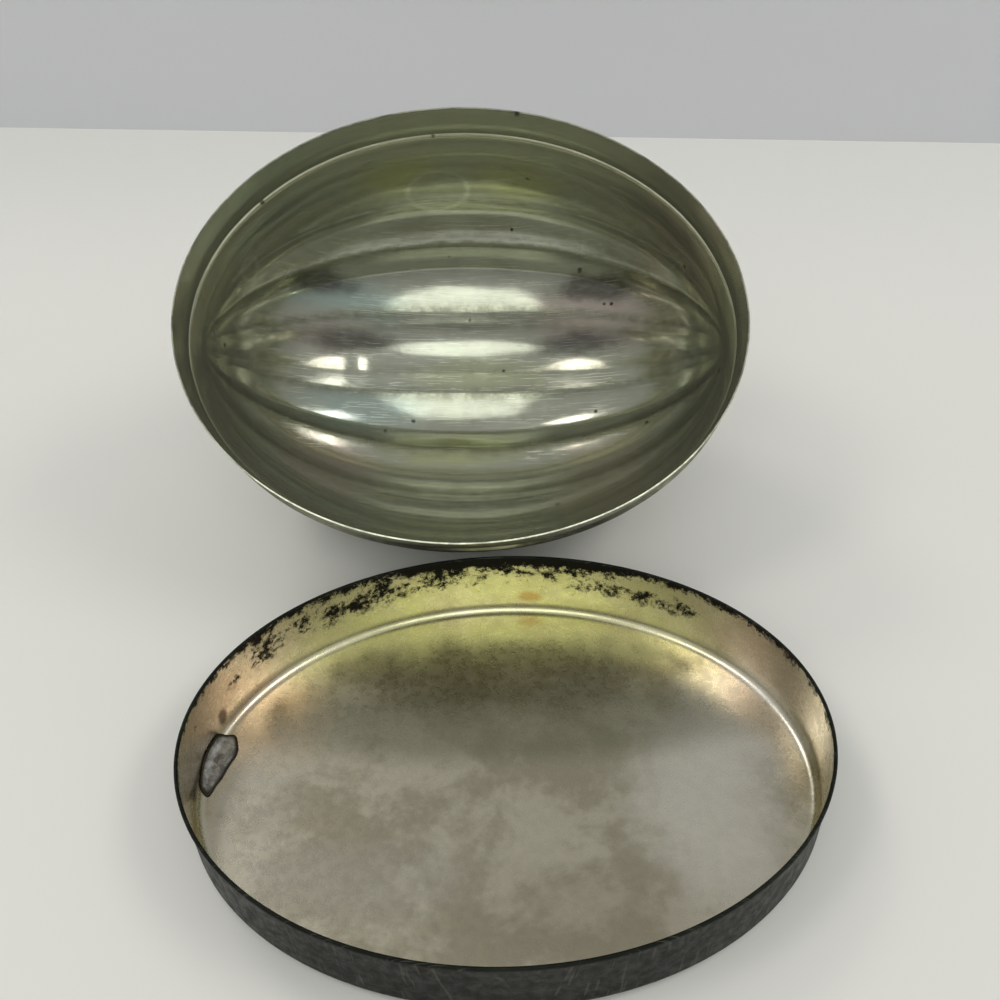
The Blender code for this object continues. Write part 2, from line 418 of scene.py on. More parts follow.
def patch_group() -> bpy.types.NodeTree:
    """Build the group that gives one soft-edged patch round a centre, and its outline."""
    graph, given, result = new_group(
        "patch",
        {"Vector": (VECTOR, None), "Centre": (VECTOR, None), "Radii": (VECTOR, None),
         "Wobble": (FLOAT, 0.3), "Softness": (FLOAT, 0.5)},
        {"Mask": FLOAT, "Outline": FLOAT},
    )
    ripple_height, ripple_grain = 3.0, (90.0, 5.0, 0.65)
    vector, softness = given.outputs["Vector"], given.outputs["Softness"]
    sides = {0: vector, 1: given.outputs["Centre"]}
    offset = graph.add("VectorMath", sides, operation="SUBTRACT").outputs[0]
    sides = {0: offset, 1: given.outputs["Radii"]}
    share = graph.add("VectorMath", sides, operation="DIVIDE").outputs[0]
    distance = graph.add("VectorMath", {0: share}, operation="LENGTH").outputs["Value"]
    ripple = graph.math("MULTIPLY", graph.ripple(vector, ripple_grain), given.outputs["Wobble"])
    reach = graph.plus(distance, ripple, ripple_height)
    inner = graph.math("SUBTRACT", 1.0, softness)
    outer = graph.math("ADD", 1.0, softness)
    graph.feed(result.inputs["Mask"], graph.math("SUBTRACT", 1.0, graph.span(reach, inner, outer)))
    off_line = graph.math("ABSOLUTE", graph.math("SUBTRACT", reach, 1.0))
    outline = graph.math("SUBTRACT", 1.0, graph.span(off_line, 0.0, softness))
    graph.feed(result.inputs["Outline"], outline)
    return graph.tree


@dataclass(frozen=True)
class Effects:
    """The node groups that more than one finish uses."""

    mottling: bpy.types.NodeTree
    scratches: bpy.types.NodeTree
    pits: bpy.types.NodeTree
    patch: bpy.types.NodeTree

    @staticmethod
    def build() -> "Effects":
        """Build every shared group once."""
        return Effects(mottling_group(), scratch_group(), pit_group(), patch_group())


class PatchLook(Enum):
    """Which output of the patch group is taken."""

    FILLED = "Mask"
    OUTLINE = "Outline"


@dataclass
class MetalGraph(Graph):
    """The nodes of a metal finish, with the coordinates and the fine grain of its layers."""

    effects: Effects
    vector: bpy.types.NodeSocket
    fine: bpy.types.NodeSocket

    def spread(self, grain: Grain) -> bpy.types.NodeSocket:
        """Return a noise value laid out over the finish."""
        return self.noise(self.vector, *grain)

    def place(self, name: str) -> bpy.types.NodeSocket:
        """Return the X, Y or Z place on the finish."""
        return self.axis(self.vector, name)

    def clouds(self, scale: float, low: float, high: float) -> bpy.types.NodeSocket:
        """Return soft clouds of tarnish as a mask."""
        inputs = {"Vector": self.vector, "Scale": scale, "Low": low, "High": high}
        return self.pattern(self.effects.mottling, "Mask", inputs)

    def pits(self, scale: float, size: float, share: float) -> bpy.types.NodeSocket:
        """Return small scattered pits as a mask."""
        inputs = {"Vector": self.vector, "Scale": scale, "Size": size, "Share": share}
        return self.pattern(self.effects.pits, "Mask", inputs)

    def scratches(self, threshold: float) -> bpy.types.NodeSocket:
        """Return fine straight scratches as a mask; a higher threshold leaves fewer."""
        inputs = {"Vector": self.vector, "Threshold": threshold}
        return self.pattern(self.effects.scratches, "Mask", inputs)

    def patch(
        self, centre: Place, radii: Place, wobble: float, softness: float,
        look: PatchLook = PatchLook.FILLED,
    ) -> bpy.types.NodeSocket:
        """Return one soft-edged patch, or its outline, as a mask."""
        inputs = {
            "Vector": self.vector, "Centre": centre, "Radii": radii, "Wobble": wobble,
            "Softness": softness,
        }
        return self.pattern(self.effects.patch, look.value, inputs)


@dataclass(frozen=True)
class ColourPatch:
    """One local patch of colour on a finish."""

    centre: Place
    radii: Place
    colour: Colour
    strength: float = 0.6
    wobble: float = 0.35
    softness: float = 0.6
    look: PatchLook = PatchLook.FILLED

    def lay(self, graph: MetalGraph, base: bpy.types.NodeSocket) -> bpy.types.NodeSocket:
        """Return the base colour with this patch laid over it."""
        mask = graph.patch(self.centre, self.radii, self.wobble, self.softness, self.look)
        return graph.tint(base, mask, self.strength, self.colour)


def start_material(name: str) -> tuple[bpy.types.Material, Graph, bpy.types.Node]:
    """Return a new material with its graph and its Principled shader."""
    material = bpy.data.materials.new(name)
    material.use_nodes = True
    graph = Graph(material.node_tree)
    return material, graph, material.node_tree.nodes["Principled BSDF"]


def object_vector(graph: Graph, coordinates: Coordinates) -> bpy.types.NodeSocket:
    """Return object coordinates, in metres, in the table's or the mould's own frame."""
    vector = graph.add("TexCoord").outputs["Object"]
    if coordinates is Coordinates.TABLE:
        return vector
    placed = graph.add(
        "Mapping",
        {"Vector": vector, "Location": tuple(MOULD_PLACE), "Rotation": tuple(MOULD_TURN)},
        vector_type="TEXTURE",
    )
    return placed.outputs[0]


@dataclass(frozen=True)
class Layers:
    """What a metal finish feeds to its shader."""

    colour: bpy.types.NodeSocket
    roughness: bpy.types.NodeSocket
    height: bpy.types.NodeSocket


@dataclass(frozen=True)
class MetalFinish:
    """What every metal finish has: its name, tarnish, frame, grain, gloss and relief."""

    name: str
    tarnish: Clouds
    coordinates: Coordinates = Coordinates.TABLE
    metallic: float = 1.0
    specular: float = 0.5
    grain: Grain = (300.0, 5.0, 0.65)
    gloss: Span = (0.3, 0.7, 0.24, 0.32)
    bump_strength: float = 0.3
    bump_distance: float = 0.4 * MM

    def layers(self, graph: MetalGraph) -> Layers:
        """Wire what one finish has of its own.

        Args:
            graph: the material's nodes.

        Returns:
            The finished colour, roughness and height.
        """
        raise NotImplementedError

    def build(self, effects: Effects) -> bpy.types.Material:
        """Wire the finish to a new material.

        Args:
            effects: the shared node groups.

        Returns:
            The material.
        """
        material, plain, shader = start_material(self.name)
        vector = object_vector(plain, self.coordinates)
        fine = plain.noise(vector, *self.grain)
        graph = MetalGraph(plain.tree, effects, vector, fine)
        layers = self.layers(graph)
        bump = graph.add("Bump", {
            "Strength": self.bump_strength, "Distance": self.bump_distance,
            "Height": layers.height,
        })
        inputs = {
            "Base Color": layers.colour, "Roughness": layers.roughness,
            "Metallic": self.metallic, "Specular IOR Level": self.specular,
            "Normal": bump.outputs[0],
        }
        for key, value in inputs.items():
            graph.feed(shader.inputs[key], value)
        return material


@dataclass(frozen=True)
class TarnishedTin(MetalFinish):
    """Satin tarnished tin of the mould: olive grey, clouded and scratched."""

    name: str = "mould_tin"
    tarnish: Clouds = (18.0, 0.36, 0.64)
    coordinates: Coordinates = Coordinates.MOULD
    metallic: float = 0.86
    grain: Grain = (240.0, 6.0, 0.65)
    gloss: Span = (0.35, 0.65, 0.10, 0.20)
    bump_strength: float = 0.4
    bump_distance: float = 0.6 * MM
    pale: Colour = (0.455, 0.47, 0.385)
    deep: Colour = (0.36, 0.37, 0.295)
    clean: Colour = (0.66, 0.67, 0.52)
    # Colour of the painted shade in the creases.
    crease_shade_colour: Colour = (0.27, 0.285, 0.19)
    # Colour of the painted highlight along the crest lines.
    crest_highlight: Colour = (0.92, 0.93, 0.84)
    # Near-black of the grime at the rim and in the pits, also used for the painted shade in the
    # creases.
    grime_and_shade: Colour = (0.07, 0.068, 0.05)
    scratch: Colour = (0.70, 0.70, 0.64)
    speck: Colour = (0.02, 0.02, 0.015)
    clean_heights: Span = (-0.066, -0.034, 0.0, 0.9)
    rim_heights: Span = (-0.0007, -0.0004)
    rim_noise: Grain = (130.0, 5.0, 0.7)
    rim_wear: Span = (0.35, 0.6, 0.75, 0.2)
    # Noise that breaks up the painted crease shade and the painted crest highlight.
    breakup_noise: Grain = (160.0, 5.0, 0.7)
    # The next three set the painted shade in the creases: its strength, its near-black streaks and
    # the roughness it adds.
    crease_shade_strength: float = 0.6
    crease_shade_span: Span = (0.35, 0.65, 0.0, 0.45)
    crease_shade_dulling: float = 0.25
    # How strong the painted highlight along the crest lines is.
    crest_highlight_span: Span = (0.30, 0.60, 0.25, 0.85)
    pits: Pits = (85.0, 0.07, 0.16)
    pit_strength: float = 0.85
    scratch_threshold: float = 0.70
    scratch_strength: float = 0.3
    drawn_scale: Place = (30.0, 420.0, 420.0)
    drawn_noise: Grain = (1.0, 5.0, 0.6)
    drawn_wear: Span = (0.40, 0.75, 0.0, 0.35)
    dent_noise: Grain = (45.0, 2.0, 0.4)
    fine_relief: float = 0.018
    drawn_relief: float = 0.06
    scratch_relief: float = -0.02
    colour_patches: tuple[ColourPatch, ...] = (
        ColourPatch((-0.050, 0.027, -0.086), (0.022, 0.010, 0.02), (0.33, 0.47, 0.44), 0.6),
        ColourPatch((-0.045, -0.014, -0.090), (0.024, 0.010, 0.02), (0.34, 0.46, 0.45), 0.5),
        ColourPatch((-0.056, 0.018, -0.085), (0.020, 0.008, 0.02), (0.50, 0.40, 0.35), 0.6),
        ColourPatch((-0.058, -0.040, -0.075), (0.020, 0.012, 0.02), (0.55, 0.47, 0.42), 0.6),
        ColourPatch((0.050, 0.024, -0.086), (0.022, 0.012, 0.03), (0.58, 0.44, 0.40), 0.65),
        ColourPatch((0.054, -0.046, -0.072), (0.018, 0.020, 0.03), (0.60, 0.53, 0.43), 0.6),
        ColourPatch((-0.027, 0.073, -0.048), (0.014, 0.02, 0.010), (0.62, 0.62, 0.26), 0.6),
        ColourPatch((0.020, 0.072, -0.054), (0.016, 0.02, 0.012), (0.58, 0.58, 0.27), 0.55),
        ColourPatch((-0.005, -0.032, -0.094), (0.026, 0.006, 0.02), (0.55, 0.58, 0.24), 0.55),
        ColourPatch((0.004, 0.001, -0.099), (0.024, 0.006, 0.02), (0.54, 0.57, 0.32), 0.5),
        ColourPatch((0.080, 0.030, -0.060), (0.024, 0.030, 0.03), (0.36, 0.31, 0.25), 0.5),
        # Painted dark reflections: dark streaks on the two middle lobes, left and right of the
        # lamp highlights, and a painted dark band along the crease between those lobes.
        ColourPatch((-0.0609, 0.0357, -0.0776), (0.016, 0.0040, 0.014), (0.08, 0.08, 0.07), 0.80, 0.5),
        ColourPatch((0.0536, 0.0342, -0.0820), (0.020, 0.0055, 0.014), (0.08, 0.08, 0.065), 0.85, 0.5),
        ColourPatch((-0.0488, 0.0135, -0.0917), (0.021, 0.0038, 0.012), (0.08, 0.08, 0.07), 0.80, 0.5),
        ColourPatch((0.0458, 0.0130, -0.0928), (0.018, 0.0045, 0.012), (0.08, 0.08, 0.07), 0.80, 0.5),
        ColourPatch((0.0000, 0.0234, -0.0965), (0.042, 0.0028, 0.012), (0.12, 0.125, 0.09), 0.55, 0.4),
        ColourPatch((-0.0830, 0.0340, -0.0528), (0.003, 0.005, 0.006), (0.72, 0.72, 0.62), 0.6,
              wobble=0.05, softness=0.3, look=PatchLook.OUTLINE),
    )
    ring_mark: ColourPatch = ColourPatch(
        (-0.0114, 0.0690, -0.0610), (0.0118, 0.020, 0.0098), (0.66, 0.67, 0.56), 0.55,
        wobble=0.05, softness=0.16, look=PatchLook.OUTLINE,
    )
    # Each speck's place in the mould's own frame and its radius, in millimetres.
    specks: tuple[tuple[float, float, float, float], ...] = (
        (17.8, 56.5, -77.3, 0.6), (24.6, 51.0, -79.4, 0.5), (45.4, 41.1, -81.6, 0.9),
        (55.4, 27.6, -83.5, 0.6), (58.2, 27.3, -82.3, 0.7), (14.4, 3.0, -99.0, 0.6),
        (52.1, -15.6, -89.6, 0.7), (-34.4, -22.8, -92.7, 0.8), (-8.0, 48.0, -84.0, 0.4),
        (19.3, 74.0, -1.0, 1.1), (-73.0, 50.4, -24.0, 0.9),
    )
    speck_depth: float = 3.0 * MM
    speck_strength: float = 0.95
    speck_softness: float = 0.35

    def speck_stains(self) -> list[ColourPatch]:
        """Return the small black specks as stains, deep enough to reach through the sheet."""
        colour_patches = []
        for x, y, z, radius in self.specks:
            colour_patches.append(ColourPatch(
                (x * MM, y * MM, z * MM), (radius * MM, radius * MM, self.speck_depth),
                self.speck, self.speck_strength, wobble=0.0, softness=self.speck_softness,
            ))
        return colour_patches

    def layers(self, graph: MetalGraph) -> Layers:
        """Wire clouds, stains and painted dark reflections, painted shade in the creases, painted
        highlights on the crests, scratches and dents.

        Args:
            graph: the material's nodes.

        Returns:
            The finished colour, roughness and height.
        """
        colour = graph.mix(graph.clouds(*self.tarnish), self.deep, self.pale)
        level = graph.place("Z")
        colour = graph.mix(graph.span(level, *self.clean_heights), colour, self.clean)
        for colour_patch in (*self.colour_patches, self.ring_mark, *self.speck_stains()):
            colour = colour_patch.lay(graph, colour)

        at_rim = graph.span(level, *self.rim_heights)
        wear_and_highlight = graph.span(graph.spread(self.rim_noise), *self.rim_wear)
        colour = graph.tint(colour, at_rim, wear_and_highlight, self.grime_and_shade)
        # Painted shade along the creases: a darker olive, with near-black streaks where the noise
        # allows.
        breakup = graph.spread(self.breakup_noise)
        crease = graph.attribute("crease")
        grime_and_shade = graph.math("MULTIPLY", crease, graph.span(breakup, *self.crease_shade_span))
        colour = graph.tint(colour, crease, self.crease_shade_strength, self.crease_shade_colour)
        colour = graph.mix(grime_and_shade, colour, self.grime_and_shade)
        # Painted highlight: pale lines along the two crest lines.
        wear_and_highlight = graph.span(breakup, *self.crest_highlight_span)
        colour = graph.tint(colour, graph.attribute("crest"), wear_and_highlight, self.crest_highlight)

        colour = graph.tint(colour, graph.pits(*self.pits), self.pit_strength, self.grime_and_shade)
        scratches = graph.scratches(self.scratch_threshold)
        colour = graph.tint(colour, scratches, self.scratch_strength, self.scratch)
        inputs = {"Vector": graph.vector, "Scale": self.drawn_scale}
        drawn = graph.add("Mapping", inputs).outputs[0]
        streaks = graph.noise(drawn, *self.drawn_noise)
        colour = graph.mix(graph.span(streaks, *self.drawn_wear), colour, self.deep)

        uneven = graph.math("MULTIPLY", graph.math("ADD", graph.fine, streaks), 0.5)
        roughness = graph.plus(graph.span(uneven, *self.gloss), grime_and_shade, self.crease_shade_dulling)
        height = graph.plus(graph.spread(self.dent_noise), graph.fine, self.fine_relief)
        height = graph.plus(height, streaks, self.drawn_relief)
        height = graph.plus(height, scratches, self.scratch_relief)
        return Layers(colour, roughness, height)


@dataclass(frozen=True)
class MouldOutside(MetalFinish):
    """Dull grey-olive tin outside the mould, stained and scuffed by use."""

    name: str = "mould_outside_tin"
    tarnish: Clouds = (22.0, 0.40, 0.62)
    coordinates: Coordinates = Coordinates.MOULD
    metallic: float = 0.86
    grain: Grain = (260.0, 5.0, 0.65)
    gloss: Span = (0.3, 0.7, 0.28, 0.42)
    bump_strength: float = 0.25
    pale: Colour = (0.36, 0.37, 0.285)
    deep: Colour = (0.20, 0.205, 0.15)
    colour_patch: Colour = (0.085, 0.080, 0.055)
    scuff: Colour = (0.55, 0.55, 0.49)
    blotches: Clouds = (46.0, 0.56, 0.68)
    blotch_strength: float = 0.7
    blotch_dulling: float = 0.15
    pits: Pits = (110.0, 0.10, 0.3)
    pit_strength: float = 0.8
    scratch_threshold: float = 0.69
    scratch_strength: float = 0.3

    def layers(self, graph: MetalGraph) -> Layers:
        """Wire clouds, dark blotches, pits and scuffs.

        Args:
            graph: the material's nodes.

        Returns:
            The finished colour, roughness and height.
        """
        colour = graph.mix(graph.clouds(*self.tarnish), self.deep, self.pale)
        blotches = graph.clouds(*self.blotches)
        colour = graph.tint(colour, blotches, self.blotch_strength, self.colour_patch)
        colour = graph.tint(colour, graph.pits(*self.pits), self.pit_strength, self.colour_patch)
        scratches = graph.scratches(self.scratch_threshold)
        colour = graph.tint(colour, scratches, self.scratch_strength, self.scuff)
        gloss = graph.span(graph.fine, *self.gloss)
        return Layers(colour, graph.plus(gloss, blotches, self.blotch_dulling), graph.fine)


@dataclass(frozen=True)
class LidInside(MetalFinish):
    """Clouded beige-grey tin inside the lid, with black oxide under the rim."""

    name: str = "lid_inside_tin"
    tarnish: Clouds = (26.0, 0.43, 0.57)
    bump_strength: float = 0.12
    pale: Colour = (0.74, 0.685, 0.54)
    deep: Colour = (0.53, 0.48, 0.355)
    oxide: Colour = (0.018, 0.017, 0.014)
    olive: Colour = (0.68, 0.67, 0.37)
    green_depth: Span = (0.035, 0.072)
    green_noise: Grain = (60.0, 4.0, 0.6)
    green_wear: Span = (0.35, 0.65, 0.45, 0.95)
    band_heights: Span = (0.0208, 0.0256)
    band_depth: Span = (-0.02, 0.07, 0.09, 0.17)
    speckle_noise: Grain = (520.0, 8.0, 0.8)
    coarse_noise: Grain = (170.0, 6.0, 0.75)
    oxide_dulling: float = 0.3
    rot_wobble: float = 0.8
    rot_softness: float = 0.7
    rot_strength: float = 0.13
    rot_cut: Span = (0.56, 0.66)
    rot_heights: Span = (0.006, 0.014)
    colour_patches: tuple[ColourPatch, ...] = (
        ColourPatch((-0.075, 0.027, 0.0), (0.014, 0.016, 0.006), (0.78, 0.56, 0.36), 0.55),
        ColourPatch((-0.093, 0.018, 0.016), (0.010, 0.022, 0.012), (0.66, 0.52, 0.42), 0.5),
        ColourPatch((0.086, 0.034, 0.016), (0.014, 0.022, 0.012), (0.50, 0.37, 0.28), 0.65),
        ColourPatch((0.093, 0.016, 0.016), (0.010, 0.028, 0.011), (0.36, 0.31, 0.22), 0.6),
        ColourPatch((0.010, 0.0750, 0.0165), (0.070, 0.012, 0.0060), (0.42, 0.40, 0.20), 0.45),
        ColourPatch((0.078, 0.022, 0.0), (0.020, 0.020, 0.006), (0.96, 0.92, 0.82), 0.8),
        ColourPatch((0.060, -0.006, 0.0), (0.020, 0.026, 0.006), (0.94, 0.90, 0.79), 0.75),
        ColourPatch((0.068, -0.030, 0.0), (0.016, 0.022, 0.006), (0.90, 0.85, 0.73), 0.7),
        ColourPatch((-0.048, -0.034, 0.0), (0.034, 0.012, 0.006), (0.66, 0.62, 0.55), 0.4),
        ColourPatch((-0.080, -0.006, 0.0), (0.014, 0.026, 0.006), (0.68, 0.64, 0.56), 0.4),
        ColourPatch((0.020, -0.048, 0.0), (0.030, 0.016, 0.006), (0.40, 0.33, 0.24), 0.35),
        ColourPatch((0.002, 0.0565, 0.0), (0.062, 0.0085, 0.006), (0.97, 0.95, 0.62), 0.8,
              wobble=0.1),
        # Painted reflection: the mould's dark olive reflection across the lid's floor, behind its
        # middle.
        ColourPatch((0.002, 0.0240, 0.0), (0.080, 0.0155, 0.006), (0.26, 0.255, 0.16), 0.60,
              wobble=0.04, softness=0.35),
        ColourPatch((0.0102, 0.0751, 0.0072), (0.0042, 0.004, 0.0022), (0.45, 0.27, 0.06), 0.7,
              wobble=0.2),
        ColourPatch((-0.0929, 0.0245, 0.0066), (0.0030, 0.0022, 0.0032), (0.06, 0.04, 0.02), 0.85,
              wobble=0.1, softness=0.4),
    )
    # Centre and radii of each place where the oxide has eaten down the wall.
    rot: tuple[tuple[Place, Place], ...] = (
        ((-0.016, 0.0750, 0.0225), (0.020, 0.012, 0.0070)),
        ((0.022, 0.0745, 0.0215), (0.024, 0.012, 0.0055)),
        ((0.048, 0.0670, 0.0150), (0.024, 0.016, 0.0040)),
        ((-0.052, 0.0640, 0.0165), (0.028, 0.018, 0.0055)),
        ((-0.079, 0.0440, 0.0170), (0.012, 0.014, 0.0060)),
    )

    def oxide_mask(self, graph: MetalGraph) -> bpy.types.NodeSocket:
        """Wire where the wall is black: a band below the rim and speckled patches.

        Args:
            graph: the material's nodes.

        Returns:
            The mask.
        """
        rotten = 0.0
        for centre, radii in self.rot:
            patch = graph.patch(centre, radii, self.rot_wobble, self.rot_softness)
            rotten = graph.math("MAXIMUM", rotten, patch)
        level = graph.place("Z")
        band = graph.span(level, *self.band_heights)
        heavy = graph.span(graph.place("Y"), *self.band_depth)
        speckle = graph.spread(self.speckle_noise)
        coarse = graph.spread(self.coarse_noise)
        reach = graph.math("MULTIPLY", graph.math("ADD", speckle, coarse), 0.5)
        reach = graph.math("ADD", reach, graph.math("MULTIPLY", band, heavy))
        black = graph.span(graph.plus(reach, rotten, self.rot_strength), *self.rot_cut)
        return graph.math("MULTIPLY", black, graph.span(level, *self.rot_heights))

    def layers(self, graph: MetalGraph) -> Layers:
        """Wire clouds, the greened back, local stains, a painted reflection of the mould on the
        floor, and the black oxide.

        Args:
            graph: the material's nodes.

        Returns:
            The finished colour, roughness and height.
        """
        colour = graph.mix(graph.clouds(*self.tarnish), self.deep, self.pale)
        at_back = graph.span(graph.place("Y"), *self.green_depth)
        patchy = graph.span(graph.spread(self.green_noise), *self.green_wear)
        colour = graph.tint(colour, at_back, patchy, self.olive)
        for colour_patch in self.colour_patches:
            colour = colour_patch.lay(graph, colour)
        black = self.oxide_mask(graph)
        colour = graph.mix(black, colour, self.oxide)
        gloss = graph.span(graph.fine, *self.gloss)
        return Layers(colour, graph.plus(gloss, black, self.oxide_dulling), graph.fine)


@dataclass(frozen=True)
class LidOutside(MetalFinish):
    """Dark oxidised tin outside the lid and over its rim, with pale scuffs."""

    name: str = "lid_outside_tin"
    tarnish: Clouds = (40.0, 0.42, 0.66)
    metallic: float = 0.45
    specular: float = 0.25
    gloss: Span = (0.3, 0.7, 0.38, 0.6)
    dark: Colour = (0.005, 0.0065, 0.0035)
    wear_and_highlight: Colour = (0.014, 0.017, 0.010)
    scuff: Colour = (0.17, 0.17, 0.14)
    scratch_threshold: float = 0.70
    scratch_strength: float = 0.25

    def layers(self, graph: MetalGraph) -> Layers:
        """Wire dark clouds and scuffs.

        Args:
            graph: the material's nodes.

        Returns:
            The finished colour, roughness and height.
        """
        colour = graph.mix(graph.clouds(*self.tarnish), self.dark, self.wear_and_highlight)
        scratches = graph.scratches(self.scratch_threshold)
        colour = graph.tint(colour, scratches, self.scratch_strength, self.scuff)
        return Layers(colour, graph.span(graph.fine, *self.gloss), graph.fine)


@dataclass(frozen=True)
class Solder(MetalFinish):
    """Mottled silver-grey solder with a dark edge."""

    name: str = "solder_repair"
    tarnish: Clouds = (260.0, 0.40, 0.60)
    grain: Grain = (700.0, 4.0, 0.6)
    gloss: Span = (0.3, 0.7, 0.38, 0.6)
    bump_strength: float = 0.5
    silver: Colour = (0.52, 0.52, 0.50)
    dull: Colour = (0.20, 0.195, 0.18)
    dark: Colour = (0.05, 0.045, 0.035)
    edge_span: Span = (0.80, 0.95)

    def layers(self, graph: MetalGraph) -> Layers:
        """Wire fine clouds and the dark edge.

        Args:
            graph: the material's nodes.

        Returns:
            The finished colour, roughness and height.
        """
        colour = graph.mix(graph.clouds(*self.tarnish), self.dull, self.silver)
        edge = graph.span(graph.attribute("edge"), *self.edge_span)
        colour = graph.mix(edge, colour, self.dark)
        return Layers(colour, graph.span(graph.fine, *self.gloss), graph.fine)


@dataclass(frozen=True)
class PaintedSurface:
    """Pale matt surface of the table or the wall, faintly uneven."""

    name: str
    colour: Colour
    roughness: float
    one_sided: bool = False
    specular: float = 0.25
    uneven: Grain = (3.0, 3.0, 0.5)
    shade: float = 0.955

    def build(self) -> bpy.types.Material:
        """Wire the surface; a one-sided one can be looked through from behind.

        Returns:
            The material.
        """
        material, graph, shader = start_material(self.name)
        uneven = graph.noise(graph.add("TexCoord").outputs["Object"], *self.uneven)
        shaded = tuple(channel * self.shade for channel in self.colour)
        graph.feed(shader.inputs["Base Color"], graph.mix(uneven, self.colour, shaded))
        shader.inputs["Roughness"].default_value = self.roughness
        shader.inputs["Specular IOR Level"].default_value = self.specular
        if self.one_sided:
            clear = graph.add("BsdfTransparent")
            behind = graph.add("NewGeometry").outputs["Backfacing"]
            blend = graph.add("MixShader", {0: behind, 1: shader.outputs[0], 2: clear.outputs[0]})
            out = material.node_tree.nodes["Material Output"]
            graph.feed(out.inputs["Surface"], blend.outputs[0])
        return material


@dataclass(frozen=True)
class Lobe:
    """One lobe across the bowl: its two edges in degrees, and the shape of its hump."""

    upper: float
    lower: float
    depth: float
    apex: float = 0.5
    roundness: float = 0.6

    def share(self, degrees: float) -> float:
        """Return how far across the lobe an angle is, from 0 at its upper edge to 1."""
        return (self.upper - degrees) / (self.upper - self.lower)

    def height(self, degrees: float) -> float:
        """Return how far the lobe stands out at an angle, 0 outside its edges."""
        share = self.share(degrees)
        if not 0.0 < share < 1.0:
            return 0.0
        reach = self.apex if share < self.apex else 1.0 - self.apex
        away = (share - self.apex) / reach
        top = math.sqrt(1.0 + self.roundness ** 2)
        hump = top - math.sqrt(away ** 2 + self.roundness ** 2)
        return self.depth * hump / (top - self.roundness)


@dataclass(frozen=True)
class Dent:
    """One dent of the bowl, in millimetres: place, reach, and how far it pushes outward."""

    x: float
    y: float
    z: float
    reach_along: float
    reach_across: float
    depth: float

    def push(self, point: Vector) -> float:
        """Return how far the dent moves a point outward."""
        along = (point.x / MM - self.x) / self.reach_along
        across = math.hypot(point.y / MM - self.y, point.z / MM - self.z) / self.reach_across
        return self.depth * MM * math.exp(-along * along - across * across)


@dataclass(frozen=True)
class Wave:
    """One waviness of the sheet: its pitch along and across the bowl, and its height."""

    along: float
    across: float
    height: float

    def push(self, point: Vector) -> float:
        """Return how far the wave moves a point outward."""
        place = Vector((point.x * self.along, point.y * self.across, point.z * self.across))
        return self.height * noise.noise(place)


